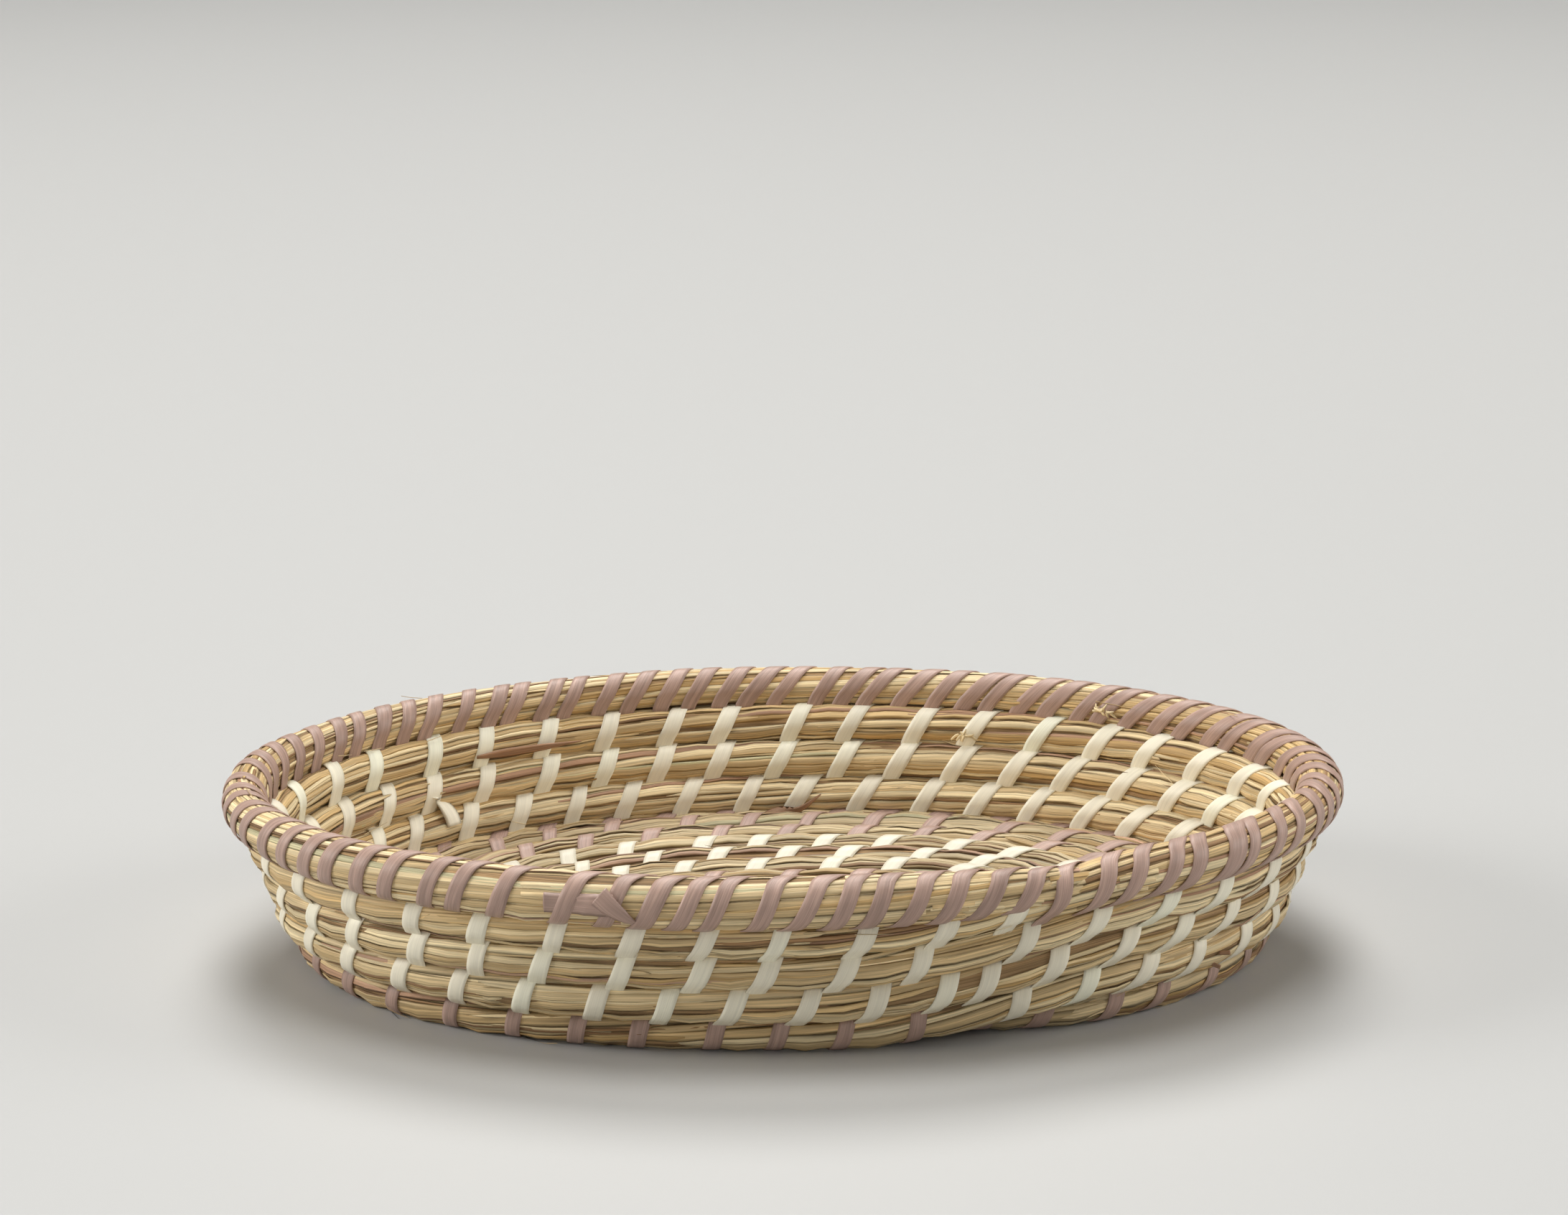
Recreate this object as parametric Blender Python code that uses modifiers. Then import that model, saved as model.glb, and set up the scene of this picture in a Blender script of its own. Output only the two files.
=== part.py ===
# Oval coiled basket: one long bundle of grass laid round and round from a straight core,
# out over the floor and up the wall to a thicker rim, each round bound with a flat strip.
# Sizes are in metres and +Z is up. The basket stands on z = 0, centred on the origin.
# Angles round the plan start at +X; the basket's front is at -Y.
import math

import bmesh
import bpy
from mathutils import Vector

# Plan: centre line of the bundle at the rim and in the straight core
RIM_HALF_LENGTH = 0.165
RIM_HALF_WIDTH = 0.116
CORE_HALF_LENGTH = 0.036

# Bundle of grass: six-sided, sizes across its flats
BUNDLE_WIDTH = 0.0084
RIM_BUNDLE_WIDTH = 0.0116
RIM_FRONT_SWELL_SHARE = 0.13
TAIL_TIP_WIDTH = 0.0030
FOOT_CUT_SHARE = 0.1

# Flat binding strips
WALL_STRIP_WIDTH = 0.0055
RIM_STRIP_WIDTH = 0.0049
STRIP_THICKNESS = 0.0005
STITCH_SPACING = 0.0240
RIM_WRAP_SPACING = 0.0130
SPLICE_TAIL_LENGTH = 0.0200

# Clearances between pieces that touch on the real basket
STRIP_CLEARANCE = 0.0004
NEIGHBOUR_GAP = 0.0009
STRIP_END_GAP = 0.0010
BEND_SPREAD_SHARE = 0.6
TAIL_GAP = 0.0012

# Shape of the wall: lean of each step from vertical, from the rim downwards, in degrees
WALL_LEANS = (26.0, 20.0, 17.0, 36.0)
FLOOR_RISE = 0.0026

# The coil: rounds meet the next one on a ramp that ends at RAMP_END degrees
POINTS_PER_ROUND = 24
RAMP_POINTS = 3
RAMP_END = -50.0
CORE_SQUARENESS_SHARE = 0.1
SIDES = 6
SPLICE_POINTS = 2
SPLICE_CORNER = 1
TAIL_LEAD_POINTS = 1
TAIL_RAMP_POINTS = 2
TAIL_LOOK_AHEAD_SHARE = 0.5

# Least gap that the coil may have to itself, and how far away another turn is left out
LEAST_SELF_GAP = 0.0004
FAR_APART_SHARE = 3.0

# Fineness of the working: slopes, probes of the plan, merging of points, reach of the cutter
SLOPE_STEP_SHARE = 0.001
PLAN_PROBES = 10
MERGE_DISTANCE = 0.00004
CUTTER_SPAN_SHARE = 3.0

FLAT_TO_CORNER = 1 / math.cos(math.pi / SIDES)
RAMP_SHARE = RAMP_POINTS / POINTS_PER_ROUND
WALL_ROUNDS = len(WALL_LEANS)

COLOURS = {
    "dried_grass": ((0.56, 0.42, 0.24), 0.75),
    "cream_strip": ((0.80, 0.74, 0.60), 0.55),
    "mauve_strip": ((0.36, 0.22, 0.19), 0.60),
}


def clear_scene():
    for thing in list(bpy.data.objects):
        bpy.data.objects.remove(thing, do_unlink=True)


def make_collection(name):
    collection = bpy.data.collections.new(name)
    bpy.context.scene.collection.children.link(collection)
    return collection


def material(name):
    """A plain finish of the named colour."""
    found = bpy.data.materials.get(name)
    if found:
        return found
    colour, roughness = COLOURS[name]
    made = bpy.data.materials.new(name)
    made.use_nodes = True
    shader = made.node_tree.nodes["Principled BSDF"]
    shader.inputs["Base Color"].default_value = (*colour, 1)
    shader.inputs["Roughness"].default_value = roughness
    shader.inputs["Metallic"].default_value = 0
    made.diffuse_color = (*colour, 1)
    return made


def plan_point(angle, share):
    """Plan position on the oval at this share of the way from the core line to the rim."""
    even = math.cos(angle)
    straight = even * math.sqrt((1 + CORE_SQUARENESS_SHARE) / (even**2 + CORE_SQUARENESS_SHARE))
    core = CORE_HALF_LENGTH * ((1 - share) * straight + share * even)
    x = core + (RIM_HALF_LENGTH - CORE_HALF_LENGTH) * share * even
    y = RIM_HALF_WIDTH * share * math.sin(angle)
    return Vector((x, y, 0))


def plan_length(share, start, end):
    """Length of the oval at this share between two angles."""
    steps = 2 * POINTS_PER_ROUND
    points = [plan_point(start + (end - start) * step / steps, share) for step in range(steps + 1)]
    return sum((after - before).length for before, after in zip(points, points[1:]))


def narrowest_share():
    """Least distance between neighbouring ovals, as a share of their distance on the long side."""
    least = 1.0
    small = SLOPE_STEP_SHARE
    for step in range(1, POINTS_PER_ROUND):
        for probe in range(1, PLAN_PROBES):
            angle = math.pi * step / POINTS_PER_ROUND
            share = probe / PLAN_PROBES
            along = plan_point(angle + small, share) - plan_point(angle - small, share)
            outward = plan_point(angle, share + small) - plan_point(angle, share)
            clear = abs(along.normalized().cross(outward).z)
            least = min(least, clear / (small * RIM_HALF_WIDTH))
    return least


def half_stack(width):
    """From the middle of a bundle out to halfway through the gap to its neighbour."""
    return width / 2 + STRIP_CLEARANCE + STRIP_THICKNESS + NEIGHBOUR_GAP / 2


def make_profile():
    """Half width, height and lean of every round, listed from the core to the rim."""
    tight = narrowest_share()
    row_pitch = 2 * half_stack(BUNDLE_WIDTH) / tight
    rim_pitch = row_pitch / 2 + half_stack(RIM_BUNDLE_WIDTH) / tight
    half_width = RIM_HALF_WIDTH
    height = 0
    rounds = [(half_width, height, WALL_LEANS[0])]
    for index, lean in enumerate(WALL_LEANS):
        pitch = rim_pitch if index == 0 else row_pitch
        half_width -= pitch * math.sin(math.radians(lean))
        height -= pitch * math.cos(math.radians(lean))
        below = WALL_LEANS[min(index + 1, WALL_ROUNDS - 1)]
        rounds.append((half_width, height, (lean + below) / 2))
    half_width -= math.sqrt(row_pitch**2 - FLOOR_RISE**2)
    height += FLOOR_RISE
    count = max(math.floor(half_width / row_pitch), 1)
    floor_pitch = half_width / count
    for index in range(count + 1):
        rounds.append((half_width - index * floor_pitch, height, 90.0))
    foot = rounds[WALL_ROUNDS][1]
    radius = BUNDLE_WIDTH / 2 * FLAT_TO_CORNER
    lift = radius - 2 * radius * FOOT_CUT_SHARE - foot
    return [(y, z + lift, math.radians(lean)) for y, z, lean in reversed(rounds)]


PROFILE = make_profile()
LAST = len(PROFILE) - 1
FOOT_ROUND = LAST - WALL_ROUNDS


def level_at(turn):
    """Which round the coil is on after this many turns, with a ramp at the end of each turn."""
    whole = min(math.floor(turn), LAST)
    past = turn - whole - (1 - RAMP_SHARE)
    if whole == LAST or past <= 0:
        return whole
    share = (PROFILE[whole][0] + PROFILE[whole + 1][0]) / 2 / RIM_HALF_WIDTH
    start = angle_at(-RAMP_SHARE)
    return whole + plan_length(share, start, angle_at(past - RAMP_SHARE)) / plan_length(share, start, angle_at(0))


def bundle_width(turn):
    """Width of the bundle across its flats: thicker at the rim, most of all in front."""
    swell = min(max(level_at(turn) - (LAST - 1), 0), 1)
    front = 1 - RIM_FRONT_SWELL_SHARE * math.sin(angle_at(turn))
    return BUNDLE_WIDTH + (RIM_BUNDLE_WIDTH * front - BUNDLE_WIDTH) * swell


def angle_at(turn):
    return math.radians(RAMP_END) + math.tau * turn


def tail_share(turn):
    """How far the last stretch has thinned out: 0 at its start and 1 at the tip."""
    start = LAST + 1 - RAMP_SHARE - TAIL_LEAD_POINTS / POINTS_PER_ROUND
    length = (TAIL_LEAD_POINTS + TAIL_RAMP_POINTS) / POINTS_PER_ROUND
    return min(max((turn - start) / length, 0), 1)


def centre_at(turn):
    """Centre of the bundle and the lean of the wall there, without the thinned tail."""
    level = level_at(turn)
    below = min(math.floor(level), LAST - 1)
    part = level - below
    y0, z0, lean0 = PROFILE[below]
    y1, z1, lean1 = PROFILE[below + 1]
    half_width = y0 + (y1 - y0) * part
    height = z0 + (z1 - z0) * part
    lean = lean0 + (lean1 - lean0) * part
    angle = angle_at(turn)
    if level > LAST - 1:
        extra = (bundle_width(turn) - BUNDLE_WIDTH) / 2 - (RIM_BUNDLE_WIDTH - BUNDLE_WIDTH) / 2 * part
        half_width += extra * math.sin(lean)
        height += extra * math.cos(lean)
    point = plan_point(angle, half_width / RIM_HALF_WIDTH)
    point.z = height
    return point, lean


def outward_at(turn):
    """Level direction away from the middle, square to the coil."""
    along = centre_at(turn + SLOPE_STEP_SHARE)[0] - centre_at(turn - SLOPE_STEP_SHARE)[0]
    return Vector((along.y, -along.x, 0)).normalized()


def tail_centre(turn):
    """The tail thins out and slips down the outside of the ramp that rises beneath it."""
    under, lean = centre_at(turn - 1)
    width = tail_width(turn)
    reach = half_stack(bundle_width(turn - 1)) + TAIL_GAP
    reach = reach * FLAT_TO_CORNER + width / 2 * FLAT_TO_CORNER
    above = (centre_at(turn)[0] - under).length
    ahead = turn - 1 + TAIL_LOOK_AHEAD_SHARE / POINTS_PER_ROUND
    above -= (level_at(ahead) - level_at(turn - 1)) * half_stack(BUNDLE_WIDTH) * 2
    swing = math.acos(max(min(above / reach, 1), 0))
    up = outward_at(turn) * math.sin(lean) + Vector((0, 0, math.cos(lean)))
    out = outward_at(turn) * math.cos(lean) - Vector((0, 0, math.sin(lean)))
    return under + (up * math.cos(swing) + out * math.sin(swing)) * reach


def tail_width(turn):
    full = bundle_width(turn)
    return full + (TAIL_TIP_WIDTH - full) * tail_share(turn)


def make_stations():
    """Centre, lean and corner radius of the bundle at each point of the coil."""
    ramp_end = math.radians(RAMP_END)
    first = math.ceil((math.pi - ramp_end) / math.tau * POINTS_PER_ROUND)
    last = (LAST + 1) * POINTS_PER_ROUND - RAMP_POINTS + TAIL_RAMP_POINTS
    stations = []
    for index in range(first, last + 1):
        turn = index / POINTS_PER_ROUND
        point = tail_centre(turn) if tail_share(turn) > 0 else centre_at(turn)[0]
        radius = tail_width(turn) / 2 * FLAT_TO_CORNER
        stations.append((turn, point, centre_at(turn)[1], radius))
    return stations


STATIONS = make_stations()


def section_frame(index):
    """Directions inward and upward, square to the coil at a station."""
    here = STATIONS[index][1]
    before = STATIONS[max(index - 1, 0)][1]
    after = STATIONS[min(index + 1, len(STATIONS) - 1)][1]
    along = (here - before).normalized() + (after - here).normalized()
    along.normalize()
    inward = Vector((0, 0, 1)).cross(along).normalized()
    return inward, along.cross(inward)


def corner_at(index, corner, offset):
    """One corner of the six-sided section at a station, moved out by an offset."""
    point, lean, radius = STATIONS[index][1:]
    inward, upward = section_frame(index)
    angle = lean + math.tau * corner / SIDES
    reach = radius + offset * FLAT_TO_CORNER
    return point + (inward * math.cos(angle) + upward * math.sin(angle)) * reach


def arc_lengths():
    lengths = [0]
    for before, after in zip(STATIONS, STATIONS[1:]):
        lengths.append(lengths[-1] + (after[1] - before[1]).length)
    return lengths


ARCS = arc_lengths()


def place_of(arc):
    """Station before this distance along the coil, and the share of the way to the next."""
    low = 0
    high = len(ARCS) - 2
    while low < high:
        middle = (low + high + 1) // 2
        if ARCS[middle] <= arc:
            low = middle
        else:
            high = middle - 1
    return low, (arc - ARCS[low]) / (ARCS[low + 1] - ARCS[low])


def surface_point(arc, corner, offset):
    """Point over a corner line of the bundle at this distance along it."""
    index, share = place_of(arc)
    start = corner_at(index, corner, offset)
    return start.lerp(corner_at(index + 1, corner, offset), share)


def arc_at_turn(turn):
    index = round(turn * POINTS_PER_ROUND) - round(STATIONS[0][0] * POINTS_PER_ROUND)
    return ARCS[min(max(index, 0), len(ARCS) - 1)]


def lifted_pair(start, end, corner, spread):
    """Both edges of a strip over one corner line, lifted clear of the bends beneath it."""
    first = surface_point(start, corner, STRIP_CLEARANCE)
    last = surface_point(end, corner, STRIP_CLEARANCE)
    out = Vector((0, 0, 0))
    far_first = surface_point(max(start - spread, 0), corner, STRIP_CLEARANCE)
    far_last = surface_point(min(end + spread, ARCS[-1]), corner, STRIP_CLEARANCE)
    chord = (far_last - far_first).normalized()
    for index in range(place_of(start - spread)[0] + 1, place_of(end + spread)[0] + 1):
        ridge = corner_at(index, corner, STRIP_CLEARANCE)
        away = (ridge - STATIONS[index][1]).normalized()
        rise = ridge - far_first
        rise -= chord * rise.dot(chord)
        if rise.dot(away) > out.length:
            out = away * rise.dot(away)
    return first + out, last + out


def add_object(name, mesh, finish, collection):
    made = bpy.data.objects.new(name, mesh)
    made.data.materials.append(material(finish))
    collection.objects.link(made)
    return made


def make_strip(name, start, end, width, spacing, finish, collection):
    """A flat strip wound round the bundle, up the outside and down the inside."""
    wraps = max(round((end - start) / spacing), 1)
    advance = (end - start) / wraps
    girth = math.pi * BUNDLE_WIDTH
    half = width * math.hypot(advance, girth) / girth / 2
    shape = bmesh.new()
    rails = []
    for step in range(wraps * SIDES + 1):
        middle = start + advance * step / SIDES
        corner = -1 - step
        pair = lifted_pair(middle - half, middle + half, corner, advance / SIDES * BEND_SPREAD_SHARE)
        rails.append([shape.verts.new(point) for point in pair])
    for before, after in zip(rails, rails[1:]):
        shape.faces.new((before[0], before[1], after[1], after[0]))
    return thickened(name, shape, finish, collection)


def make_splice_tail(name, start, end, finish, collection):
    """The end of one rim strip, laid flat along the upper outer side of the rim."""
    upper = SPLICE_CORNER
    margin = (1 - RIM_STRIP_WIDTH * 2 / (RIM_BUNDLE_WIDTH * FLAT_TO_CORNER)) / 2
    stops = [start] + [arc for arc in ARCS if start < arc < end] + [end]
    shape = bmesh.new()
    rails = []
    for arc in stops:
        high = surface_point(arc, upper, STRIP_CLEARANCE)
        low = surface_point(arc, upper + 1, STRIP_CLEARANCE)
        rails.append([shape.verts.new(high.lerp(low, share)) for share in (margin, 1 - margin)])
    for before, after in zip(rails, rails[1:]):
        shape.faces.new((before[0], before[1], after[1], after[0]))
    return thickened(name, shape, finish, collection)


def thickened(name, shape, finish, collection):
    """An object from an open band of faces, given the strip's thickness outwards."""
    mesh = bpy.data.meshes.new(name)
    shape.to_mesh(mesh)
    shape.free()
    strip = add_object(name, mesh, finish, collection)
    thicken = strip.modifiers.new("thickness", "SOLIDIFY")
    thicken.thickness = STRIP_THICKNESS
    thicken.offset = 1
    thicken.use_even_offset = True
    return strip


def make_foundation(collection, cutters):
    """The whole bundle as one unbroken tube, cut flat where it stands."""
    curve = bpy.data.curves.new("foundation_path", "CURVE")
    curve.dimensions = "3D"
    curve.twist_mode = "Z_UP"
    spline = curve.splines.new("POLY")
    spline.points.add(len(STATIONS) - 1)
    base = BUNDLE_WIDTH / 2 * FLAT_TO_CORNER
    for point, (_, place, lean, radius) in zip(spline.points, STATIONS):
        point.co = (*place, 1)
        point.tilt = lean
        point.radius = radius / base
    curve.bevel_depth = base
    curve.bevel_resolution = (SIDES - 4) // 2
    curve.use_fill_caps = True
    guide = bpy.data.objects.new("foundation_path", curve)
    collection.objects.link(guide)
    graph = bpy.context.evaluated_depsgraph_get()
    mesh = bpy.data.meshes.new_from_object(guide.evaluated_get(graph))
    shape = bmesh.new()
    shape.from_mesh(mesh)
    bmesh.ops.remove_doubles(shape, verts=shape.verts, dist=MERGE_DISTANCE)
    shape.to_mesh(mesh)
    shape.free()
    mesh.materials.clear()
    coil = add_object("foundation_coil", mesh, "dried_grass", collection)
    coil.matrix_world = guide.matrix_world
    bpy.data.objects.remove(guide, do_unlink=True)
    bpy.ops.mesh.primitive_cube_add(size=1)
    ground = bpy.context.object
    ground.name = "ground_cutter"
    depth = BUNDLE_WIDTH
    ground.scale = (CUTTER_SPAN_SHARE * RIM_HALF_LENGTH, CUTTER_SPAN_SHARE * RIM_HALF_WIDTH, depth)
    ground.location = (0, 0, -depth / 2)
    ground.hide_render = True
    ground.display_type = "WIRE"
    for holder in list(ground.users_collection):
        holder.objects.unlink(ground)
    cutters.objects.link(ground)
    flat = coil.modifiers.new("foot", "BOOLEAN")
    flat.operation = "DIFFERENCE"
    flat.object = ground
    flat.solver = "EXACT"
    return coil


def measure_self_gap():
    """Least distance between turns of the coil, from points along it, less its thickness."""
    least = RIM_HALF_LENGTH
    for first in range(len(STATIONS)):
        for other in range(first + POINTS_PER_ROUND // 2, len(STATIONS)):
            gap = station_gap(first, other)
            least = min(least, gap)
    return least


def station_gap(first, other):
    """Clear distance from a station's section to the piece of coil after another station."""
    if other + 1 >= len(STATIONS):
        return RIM_HALF_LENGTH
    here = STATIONS[first][1]
    start = STATIONS[other][1]
    way = STATIONS[other + 1][1] - start
    share = min(max((here - start).dot(way) / way.length_squared, 0), 1)
    apart = start + way * share - here
    if apart.length > FAR_APART_SHARE * RIM_BUNDLE_WIDTH:
        return RIM_HALF_LENGTH
    reach = section_reach(first, apart) + section_reach(other, -apart)
    return apart.length - reach


def section_reach(index, direction):
    """How far the six-sided section reaches in a direction."""
    corners = [corner_at(index, corner, 0) - STATIONS[index][1] for corner in range(SIDES)]
    unit = direction.normalized()
    return max(corner.dot(unit) for corner in corners)


WALL_STRIPS = (
    ("wall_binder_upper", "cream_strip"),
    ("wall_binder_middle", "cream_strip"),
    ("wall_binder_lower", "cream_strip"),
)
FLOOR_STRIPS = ("mauve_strip", "mauve_strip", "cream_strip", "cream_strip", "cream_strip", "mauve_strip")


def make_round_strip(name, level, finish, collection):
    """The strip of one round, from the foot of its ramp to the foot of the next ramp.

    The first one above the foot starts past its ramp, so that no strip lies under the foot.
    """
    ramp = 0 if level == FOOT_ROUND + 1 else RAMP_SHARE
    start = arc_at_turn(level - ramp) + WALL_STRIP_WIDTH
    end = arc_at_turn(level + 1 - RAMP_SHARE) - WALL_STRIP_WIDTH - STRIP_END_GAP
    make_strip(name, start, end, WALL_STRIP_WIDTH, STITCH_SPACING, finish, collection)


def make_rim_strips(collection):
    """Two mauve strips round the rim, and the tail of the first where they meet."""
    start = arc_at_turn(LAST - RAMP_SHARE) + WALL_STRIP_WIDTH
    end = arc_at_turn(LAST + 1 - RAMP_SHARE) - RIM_STRIP_WIDTH
    splice = arc_at_turn(LAST + 1 - RAMP_SHARE - SPLICE_POINTS / POINTS_PER_ROUND)
    tail_end = splice + SPLICE_TAIL_LENGTH
    apart = RIM_STRIP_WIDTH + STRIP_END_GAP
    finish = "mauve_strip"
    make_strip("rim_binder_long", start, splice - apart, RIM_STRIP_WIDTH, RIM_WRAP_SPACING, finish, collection)
    make_splice_tail("rim_splice_tail", splice, tail_end, finish, collection)
    make_strip("rim_binder_short", tail_end + apart, end, RIM_STRIP_WIDTH, RIM_WRAP_SPACING, finish, collection)


def centre_over_origin(collection):
    """Hang every piece on one empty and set it so that the basket's box is centred on the origin."""
    graph = bpy.context.evaluated_depsgraph_get()
    corners = []
    for piece in collection.objects:
        seen = piece.evaluated_get(graph)
        corners += [piece.matrix_world @ vertex.co for vertex in seen.to_mesh().vertices]
        seen.to_mesh_clear()
    holder = bpy.data.objects.new("basket_origin", None)
    for axis in range(2):
        values = [corner[axis] for corner in corners]
        holder.location[axis] = -(min(values) + max(values)) / 2
    for piece in list(collection.objects):
        piece.parent = holder
    collection.objects.link(holder)


def build():
    clear_scene()
    collection = make_collection("coiled_basket")
    cutters = make_collection("cutters")
    make_foundation(collection, cutters)
    make_rim_strips(collection)
    for down, (name, finish) in enumerate(WALL_STRIPS, start=1):
        make_round_strip(name, LAST - down, finish, collection)
    for level in range(FOOT_ROUND - 1, 1, -1):
        number = FOOT_ROUND - level
        finish = FLOOR_STRIPS[min(number, len(FLOOR_STRIPS)) - 1]
        make_round_strip(f"floor_binder_{number}", level, finish, collection)
    centre_over_origin(collection)
    gap = measure_self_gap()
    print(f"least gap of the coil to itself: {gap:.5f} m, at least {LEAST_SELF_GAP:.5f} m is needed")


build()
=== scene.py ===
import math

import bpy
import numpy as np
from mathutils import Euler, Matrix, Vector


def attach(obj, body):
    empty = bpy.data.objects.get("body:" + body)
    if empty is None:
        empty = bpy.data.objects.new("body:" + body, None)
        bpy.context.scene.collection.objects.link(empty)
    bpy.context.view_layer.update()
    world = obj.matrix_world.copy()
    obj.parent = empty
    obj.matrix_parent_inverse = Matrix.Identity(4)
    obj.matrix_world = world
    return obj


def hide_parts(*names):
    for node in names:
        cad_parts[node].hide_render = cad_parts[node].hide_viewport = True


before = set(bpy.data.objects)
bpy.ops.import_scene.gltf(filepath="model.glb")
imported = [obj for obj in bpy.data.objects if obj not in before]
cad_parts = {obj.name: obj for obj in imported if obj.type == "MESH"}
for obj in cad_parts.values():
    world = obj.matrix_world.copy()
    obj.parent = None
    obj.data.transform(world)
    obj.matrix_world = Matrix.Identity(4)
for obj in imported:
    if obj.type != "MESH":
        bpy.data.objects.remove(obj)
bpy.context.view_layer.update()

# Plan of the coil, as in the CAD model
RIM_HALF_LENGTH = 0.165
RIM_HALF_WIDTH = 0.116
CORE_HALF_LENGTH = 0.036
CORE_SQUARENESS_SHARE = 0.1
PLAN_SHIFT = 0.002
RAMP_END = -50.0
RAMP_SHARE = 0.105
START_ANGLE = 180.0

# Section of the wall: steps from the rim down, then the floor
RIM_PITCH = 0.0124
ROUND_PITCH = 0.0117
WALL_LEANS = (26.0, 20.0, 17.0, 28.0)
FOOT_HEIGHT = 0.0061
FLOOR_RISE = 0.0022
FLOOR_ROUNDS = 7

# Bundles
ROUND_RADIUS = 0.0065
RIM_RADIUS = 0.0072
RIM_FRONT_SHARE = 0.08
RISING_SLIM = 0.0007
TAIL_RADIUS = 0.0030
TAIL_ENDS = (0.1, 0.65)
CORE_TUBE_SHARE = 0.955
CORE_CORNERS = 20
PINCH_DEPTH = 0.0007
PINCH_FLAT = 0.0040
PINCH_FADE = 0.0050
STATIONS_PER_TURN = 300

# Stems
STEM_LENGTHS = (0.11, 0.38)
STEM_WIDTHS = (0.0012, 0.0040)
STEM_THICKNESS = 0.0005
STEM_STEP = 0.0048
STEMS_ROUND = 40
STEM_TWIST = 7.0
TWIST_SPREAD = 2.4
LAYERS = (-0.00026, 0.00004, -0.00011, 0.00019, -0.00019, 0.00011, -0.00004, 0.00026)
LAYER_PRESS = 0.45
GROUND_GAP = 0.0002

# Strips
CREAM_WIDTH = 0.0054
MAUVE_WIDTH = 0.0049
STRIP_THICKNESS = 0.00035
STITCH_ADVANCE = 0.0064
WRAP_ADVANCE = 0.0092
SLANT_CURVE = 0.06
SLANT_SWING = 0.35
SLANT_MOST_AT = 330.0
RAMP_SLANT = 0.55
RAMP_SLANT_AT = 322.0
INNER_SLANT = 0.8
WIDE_WRAP_TURN = 12.016
WIDE_WRAP_SHARE = 1.5
GROOVE_PINCH_SHARE = 0.3

LAST = len(WALL_LEANS) + FLOOR_ROUNDS + 1
FOOT = FLOOR_ROUNDS + 1
FLOOR_SPLIT = 5.6
WALL_SPLIT = 9.8
rng = np.random.default_rng(11)


def profile():
    """Half width and height of every round, from the core to the rim."""
    pitches = [RIM_PITCH] + [ROUND_PITCH] * (len(WALL_LEANS) - 1)
    half, height = RIM_HALF_WIDTH, 0.0
    rounds = [(half, height)]
    for pitch, lean in zip(pitches, WALL_LEANS):
        half -= pitch * math.sin(math.radians(lean))
        height -= pitch * math.cos(math.radians(lean))
        rounds.append((half, height))
    half -= math.sqrt(ROUND_PITCH**2 - FLOOR_RISE**2)
    lift = FOOT_HEIGHT - height
    rounds = [(y, z + lift) for y, z in rounds]
    for index in range(FLOOR_ROUNDS + 1):
        rounds.append((half * (1 - index / FLOOR_ROUNDS), FOOT_HEIGHT + FLOOR_RISE))
    return np.array(rounds[::-1])


PROFILE = profile()


def smooth(value):
    value = np.clip(value, 0, 1)
    return value * value * (3 - 2 * value)


def angle_of(turn):
    return math.radians(RAMP_END) + math.tau * turn


def level_of(turn):
    whole = np.minimum(np.floor(turn), LAST)
    past = (turn - whole - (1 - RAMP_SHARE)) / RAMP_SHARE
    return np.where(whole >= LAST, LAST, whole + smooth(past))


def plan(angle, half_width):
    share = half_width / RIM_HALF_WIDTH
    even = np.cos(angle)
    straight = even * np.sqrt((1 + CORE_SQUARENESS_SHARE) / (even**2 + CORE_SQUARENESS_SHARE))
    core = CORE_HALF_LENGTH * ((1 - share) * straight + share * even)
    x = core + (RIM_HALF_LENGTH - CORE_HALF_LENGTH) * share * even
    return x, RIM_HALF_WIDTH * share * np.sin(angle) + PLAN_SHIFT


def centre_of(turn):
    level = level_of(turn)
    steps = np.arange(LAST + 1)
    half = np.interp(level, steps, PROFILE[:, 0])
    height = np.interp(level, steps, PROFILE[:, 1])
    x, y = plan(angle_of(turn), half)
    return np.stack([x, y, height], 1)


def radius_of(turn):
    swell = smooth(level_of(turn) - (LAST - 1))
    rim = RIM_RADIUS * (1 - RIM_FRONT_SHARE * np.sin(angle_of(turn)))
    full = ROUND_RADIUS + (rim - ROUND_RADIUS) * swell**3 - RISING_SLIM * np.sin(math.pi * swell)
    thin = smooth((turn - (LAST + 1 - RAMP_SHARE)) / RAMP_SHARE) ** 2
    return full + (TAIL_RADIUS - full) * thin


def unit(v):
    return v / np.maximum(np.linalg.norm(v, axis=-1, keepdims=True), 1e-12)


def wave(values, length, size, seed):
    """A smooth random wander of the given length scale."""
    local = np.random.default_rng(seed)
    knots = np.arange(values.min() - length, values.max() + 2 * length, length)
    heights = local.normal(0, size, len(knots))
    place = (values - knots[0]) / length
    index = np.clip(place.astype(int), 0, len(knots) - 2)
    part = smooth(place - index)
    return heights[index] * (1 - part) + heights[index + 1] * part


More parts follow.
